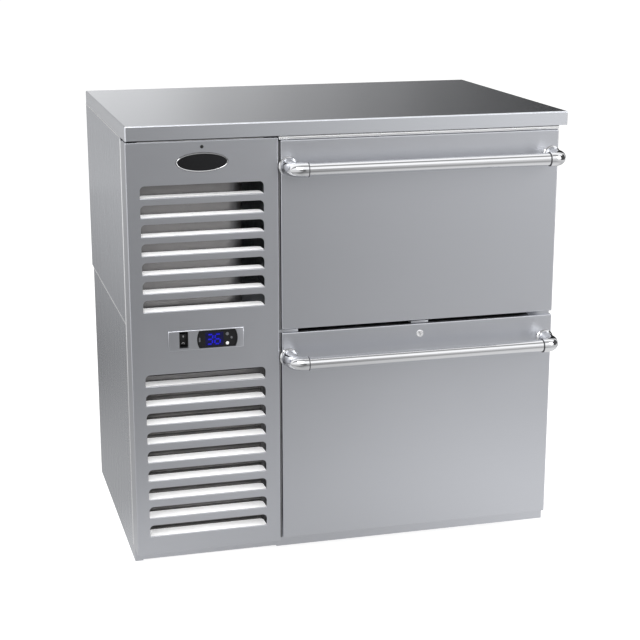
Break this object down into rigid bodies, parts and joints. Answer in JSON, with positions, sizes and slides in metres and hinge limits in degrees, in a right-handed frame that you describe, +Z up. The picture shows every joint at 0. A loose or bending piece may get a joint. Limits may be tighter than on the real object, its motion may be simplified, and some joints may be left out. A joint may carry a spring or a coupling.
{
  "type": "undercounter drawer refrigerator",
  "caption": "Stainless undercounter refrigerator with stacked drawers beside a louvred machine compartment.",
  "frame": {"origin": "centre of the footprint on the floor", "axes": "+X to the right seen from the front, +Y to the back, +Z up; the drawers open along -Y"},
  "size_m": [0.9144, 0.6882, 0.9144],
  "materials": {
    "stainless_top": "brushed stainless steel, satin",
    "stainless_panel": "brushed stainless steel, satin",
    "stainless_frame": "brushed stainless steel, satin",
    "galvanised": "galvanised sheet, matt",
    "polished_metal": "polished",
    "bin_steel": "drawn stainless steel, satin",
    "liner_aluminium": "mill finish",
    "foam": "rigid foam, matt",
    "core_board": "board, raw",
    "black_moulding": "moulded, matt",
    "black_gloss": "moulded, glossy",
    "black_rubber": "soft, matt",
    "key_grey": "moulded, matt",
    "display_blue": "backlit window",
    "badge_black": "glossy with a bright rim",
    "lock_brass": "nickel plated",
    "coil_fins": "thin fins, dull",
    "black_paint": "semi-gloss enamel",
    "grey_paint": "satin enamel",
    "copper": "drawn copper, slightly dull",
    "fan_plastic": "moulded, matt"
  },
  "bodies": {
    "cabinet": {"worktop": "stainless_top", "worktop_core": "core_board", "left_side_upper": "stainless_panel", "left_side_lower": "stainless_panel", "right_side_upper": "stainless_panel", "right_side_lower": "stainless_panel", "back_panel_upper": "galvanised", "back_panel_lower": "galvanised", "cord_bushing": "black_rubber", "base_pan": "galvanised", "toe_rail": "stainless_frame", "face_frame": "stainless_frame", "inner_liner": "liner_aluminium", "partition_skin": "galvanised", "insulation": "foam", "grille_panel": "stainless_panel", "badge_plate": "badge_black", "control_plate": "stainless_frame", "controller_body": "black_gloss", "controller_lens": "display_blue", "switch_body": "black_moulding", "upper_slides_outer": "galvanised", "lower_slides_outer": "galvanised", "lock_strike": "stainless_frame", "condenser_coil": "coil_fins", "condenser_shroud": "galvanised", "condenser_fan_motor": "black_paint", "compressor": "black_paint", "refrigerant_lines": "copper", "condensate_pan": "black_moulding", "electrical_box": "grey_paint", "evaporator_cover": "liner_aluminium", "evaporator_coil": "coil_fins", "evaporator_fan_motor": "black_paint"},
    "upper_drawer": {"upper_drawer_front": "stainless_panel", "upper_drawer_core": "black_moulding", "upper_drawer_gasket": "black_rubber", "upper_handle": "polished_metal", "upper_handle_posts": "polished_metal", "upper_drawer_frame": "stainless_frame", "upper_drawer_bin": "bin_steel"},
    "lower_drawer": {"lower_drawer_front": "stainless_panel", "lower_drawer_core": "black_moulding", "lower_drawer_gasket": "black_rubber", "lower_handle": "polished_metal", "lower_handle_posts": "polished_metal", "lower_drawer_frame": "stainless_frame", "lower_drawer_bin": "bin_steel", "lock_barrel": "polished_metal"},
    "upper_slide_extension": {"upper_slides_middle": "galvanised"},
    "lower_slide_extension": {"lower_slides_middle": "galvanised"},
    "lock": {"lock_plug": "lock_brass", "lock_cam": "galvanised"},
    "power_rocker": {"switch_rocker": "black_gloss"},
    "up_button": {"up_key": "key_grey"},
    "down_button": {"down_key": "key_grey"},
    "set_button": {"set_key": "key_grey"},
    "power_button": {"power_key": "key_grey"},
    "condenser_fan_wheel": {"condenser_fan": "fan_plastic"},
    "evaporator_fan_wheel": {"evaporator_fan": "fan_plastic"}
  },
  "joints": [
    {"name": "upper_drawer_slide", "type": "slide", "parent": "cabinet", "child": "upper_drawer", "axis": [0, -1, 0], "range_m": [0, 0.38]},
    {"name": "upper_slide_follow", "type": "slide", "parent": "cabinet", "child": "upper_slide_extension", "axis": [0, -1, 0], "range_m": [0, 0.19]},
    {"name": "lower_drawer_slide", "type": "slide", "parent": "cabinet", "child": "lower_drawer", "axis": [0, -1, 0], "range_m": [0, 0.38]},
    {"name": "lower_slide_follow", "type": "slide", "parent": "cabinet", "child": "lower_slide_extension", "axis": [0, -1, 0], "range_m": [0, 0.19]},
    {"name": "lock_turn", "type": "hinge", "parent": "lower_drawer", "child": "lock", "pos_m": [0.14555, -0.27687, 0.4616], "axis": [0, -1, 0], "range_deg": [0, 90]},
    {"name": "power_rock", "type": "hinge", "parent": "cabinet", "child": "power_rocker", "pos_m": [-0.35175, -0.26338, 0.48375], "axis": [1, 0, 0], "range_deg": [-18, 0]},
    {"name": "up_press", "type": "slide", "parent": "cabinet", "child": "up_button", "axis": [0, 1, 0], "range_m": [0, 0.001], "stiffness_N_per_m": 250},
    {"name": "down_press", "type": "slide", "parent": "cabinet", "child": "down_button", "axis": [0, 1, 0], "range_m": [0, 0.001], "stiffness_N_per_m": 250},
    {"name": "set_press", "type": "slide", "parent": "cabinet", "child": "set_button", "axis": [0, 1, 0], "range_m": [0, 0.001], "stiffness_N_per_m": 250},
    {"name": "power_press", "type": "slide", "parent": "cabinet", "child": "power_button", "axis": [0, 1, 0], "range_m": [0, 0.001], "stiffness_N_per_m": 250},
    {"name": "condenser_fan_spin", "type": "hinge", "parent": "cabinet", "child": "condenser_fan_wheel", "pos_m": [-0.3072, -0.14188, 0.196], "axis": [0, 1, 0], "continuous": true},
    {"name": "evaporator_fan_spin", "type": "hinge", "parent": "cabinet", "child": "evaporator_fan_wheel", "pos_m": [0.14555, 0.18812, 0.7221], "axis": [0, 1, 0], "continuous": true}
  ],
  "couplings": [
    {"joint": "upper_slide_follow", "follows": "upper_drawer_slide", "ratio": 0.5},
    {"joint": "lower_slide_follow", "follows": "lower_drawer_slide", "ratio": 0.5}
  ]
}
